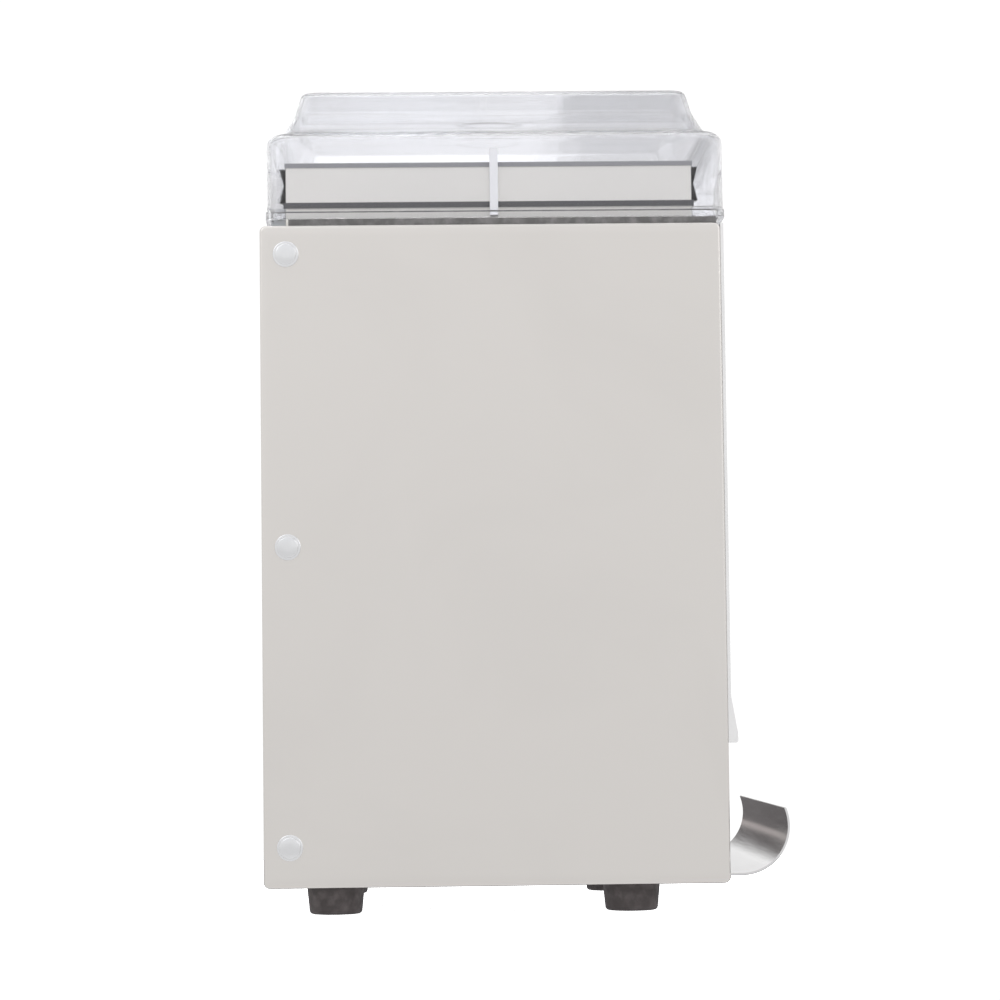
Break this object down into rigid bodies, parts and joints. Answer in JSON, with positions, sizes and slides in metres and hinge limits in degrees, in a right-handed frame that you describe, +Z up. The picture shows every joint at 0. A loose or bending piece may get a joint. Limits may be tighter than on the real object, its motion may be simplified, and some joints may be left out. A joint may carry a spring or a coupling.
{
  "type": "cup sealing machine",
  "caption": "Countertop cup sealing machine: stainless casing, clear hinged lid over the film roll, sliding cup carriage, lowering heated head and a drip tray with a rolled lip.",
  "frame": {"origin": "on the floor under the middle of the machine's overall footprint, the tray's lip included", "axes": "+Z up; -Y is the front, where the cup goes in; +X is to the right as seen from the front"},
  "size_m": [0.3264, 0.3806, 0.605],
  "materials": {
    "stainless_panel": "fine vertical brushing, satin",
    "polished_steel": "bright polished",
    "zinc_plate": "plain zinc-plated sheet",
    "screw_steel": "bright plated",
    "fascia_plastic": "light grey moulded, fine texture",
    "panel_gloss": "black gloss facing",
    "window_tint": "dark red tint",
    "key_plastic": "satin keys",
    "black_rubber": "matte",
    "foot_rubber": "brownish black",
    "black_plastic": "fine texture",
    "clear_plastic": "clear moulded sheet",
    "silicone": "red silicone",
    "alloy": "turned, satin",
    "heater_alloy": "cast, heat-tinted",
    "pad_ptfe": "tan non-stick cloth",
    "insulation": "mineral board",
    "knife_steel": "ground",
    "gear_steel": "machined",
    "bronze": "sintered bronze",
    "nylon": "natural nylon",
    "film": "clear film, wound",
    "film_web": "thin clear film",
    "spool_plastic": "moulded",
    "belt_rubber": "ribbed",
    "motor_metal": "grey",
    "board_green": "solder mask",
    "case_metal": "pressed sheet",
    "spring_steel": "wire"
  },
  "bodies": {
    "chassis": {"base_pan": "zinc_plate", "right_side_panel": "stainless_panel", "left_side_panel": "stainless_panel", "rear_panel": "stainless_panel", "front_fascia": "fascia_plastic", "casing_screws": "screw_steel", "rubber_feet": "foot_rubber", "control_panel": "panel_gloss", "display_window": "window_tint", "circuit_boards": "board_green", "power_supply": "case_metal", "power_fittings": "black_plastic", "cooling_fan": "black_plastic", "mark_sensor": "black_plastic", "right_frame_plate": "zinc_plate", "left_frame_plate": "zinc_plate", "bay_back_plate": "stainless_panel", "shaft_bearings": "bronze", "slide_rails": "nylon", "gear_motors": "motor_metal", "film_deck": "stainless_panel", "collar_trim": "black_rubber", "corner_pads": "black_rubber", "lid_gasket": "black_rubber", "hinge_brackets": "zinc_plate", "head_bridge": "alloy", "head_springs": "spring_steel", "film_web": "film_web", "drive_belt": "belt_rubber"},
    "lid": {"clear_lid": "clear_plastic", "hinge_lugs": "polished_steel"},
    "tray": {"drip_tray": "polished_steel", "drip_grid": "polished_steel"},
    "carriage": {"carriage_plate": "stainless_panel", "carriage_front": "black_plastic", "cup_ring": "alloy", "ring_seal": "silicone", "carriage_rack": "gear_steel"},
    "carriage_drive": {"carriage_pinion": "gear_steel"},
    "sealing_head": {"heater_block": "heater_alloy", "heat_insulator": "insulation", "sealing_pad": "pad_ptfe", "film_cutter": "knife_steel", "head_plate": "alloy", "guide_rods": "knife_steel", "head_rack": "gear_steel"},
    "head_drive": {"head_pinion": "gear_steel"},
    "supply_roll": {"film_roll": "film", "roll_spindle": "spool_plastic"},
    "take_up": {"take_up_spool": "spool_plastic", "waste_film": "film"},
    "take_up_drive": {"motor_pulley": "spool_plastic"},
    "rear_roller": {"rear_guide_roller": "alloy"},
    "front_roller": {"front_guide_roller": "alloy"},
    "fan": {"fan_rotor": "black_plastic"},
    "rocker": {"power_rocker": "black_plastic"},
    "mode_key": {"mode_key": "key_plastic"},
    "manual_key": {"manual_key": "key_plastic"},
    "lower_key": {"lower_key": "key_plastic"},
    "raise_key": {"raise_key": "key_plastic"}
  },
  "joints": [
    {"name": "lid_hinge", "type": "hinge", "parent": "chassis", "child": "lid", "pos_m": [0, 0.1783, 0.5145], "axis": [-1, 0, 0], "range_deg": [0, 70]},
    {"name": "tray_slide", "type": "slide", "parent": "chassis", "child": "tray", "axis": [0, -1, 0], "range_m": [0, 0.2]},
    {"name": "carriage_slide", "type": "slide", "parent": "chassis", "child": "carriage", "axis": [0, -1, 0], "range_m": [0, 0.19]},
    {"name": "carriage_drive_spin", "type": "hinge", "parent": "chassis", "child": "carriage_drive", "pos_m": [0.09, -0.0347, 0.22262], "axis": [1, 0, 0], "range_deg": [0, 910]},
    {"name": "head_slide", "type": "slide", "parent": "chassis", "child": "sealing_head", "axis": [0, 0, -1], "range_m": [0, 0.0375], "deforming": ["head_springs"]},
    {"name": "head_drive_spin", "type": "hinge", "parent": "chassis", "child": "head_drive", "pos_m": [0, 0.02867, 0.365], "axis": [1, 0, 0], "range_deg": [0, 180]},
    {"name": "supply_roll_spin", "type": "hinge", "parent": "chassis", "child": "supply_roll", "pos_m": [0, 0.0933, 0.485], "axis": [-1, 0, 0], "continuous": true},
    {"name": "take_up_spin", "type": "hinge", "parent": "chassis", "child": "take_up", "pos_m": [0, -0.0797, 0.47], "axis": [-1, 0, 0], "continuous": true},
    {"name": "take_up_drive_spin", "type": "hinge", "parent": "chassis", "child": "take_up_drive", "pos_m": [0.12, -0.0797, 0.385], "axis": [-1, 0, 0], "continuous": true},
    {"name": "rear_roller_spin", "type": "hinge", "parent": "chassis", "child": "rear_roller", "pos_m": [0, 0.1516, 0.2612], "axis": [-1, 0, 0], "continuous": true},
    {"name": "front_roller_spin", "type": "hinge", "parent": "chassis", "child": "front_roller", "pos_m": [0, -0.095, 0.2612], "axis": [-1, 0, 0], "continuous": true},
    {"name": "fan_spin", "type": "hinge", "parent": "chassis", "child": "fan", "pos_m": [0.06, 0.1783, 0.17], "axis": [0, 1, 0], "continuous": true},
    {"name": "rocker_switch", "type": "hinge", "parent": "chassis", "child": "rocker", "pos_m": [-0.072, 0.1838, 0.14], "axis": [1, 0, 0], "range_deg": [0, 16]},
    {"name": "mode_press", "type": "slide", "parent": "chassis", "child": "mode_key", "axis": [0, 1, 0], "range_m": [0, 0.001], "stiffness_N_per_m": 400, "springref_m": -0.0006},
    {"name": "manual_press", "type": "slide", "parent": "chassis", "child": "manual_key", "axis": [0, 1, 0], "range_m": [0, 0.001], "stiffness_N_per_m": 400, "springref_m": -0.0006},
    {"name": "lower_press", "type": "slide", "parent": "chassis", "child": "lower_key", "axis": [0, 1, 0], "range_m": [0, 0.001], "stiffness_N_per_m": 400, "springref_m": -0.0006},
    {"name": "raise_press", "type": "slide", "parent": "chassis", "child": "raise_key", "axis": [0, 1, 0], "range_m": [0, 0.001], "stiffness_N_per_m": 400, "springref_m": -0.0006}
  ],
  "couplings": [
    {"joint": "carriage_drive_spin", "follows": "carriage_slide", "rad_per_m": 83.333},
    {"joint": "head_drive_spin", "follows": "head_slide", "rad_per_m": 83.333},
    {"joint": "take_up_spin", "follows": "supply_roll_spin", "ratio": 2.72},
    {"joint": "take_up_drive_spin", "follows": "supply_roll_spin", "ratio": 4.08},
    {"joint": "rear_roller_spin", "follows": "supply_roll_spin", "ratio": 7.0103},
    {"joint": "front_roller_spin", "follows": "supply_roll_spin", "ratio": 7.0103}
  ]
}
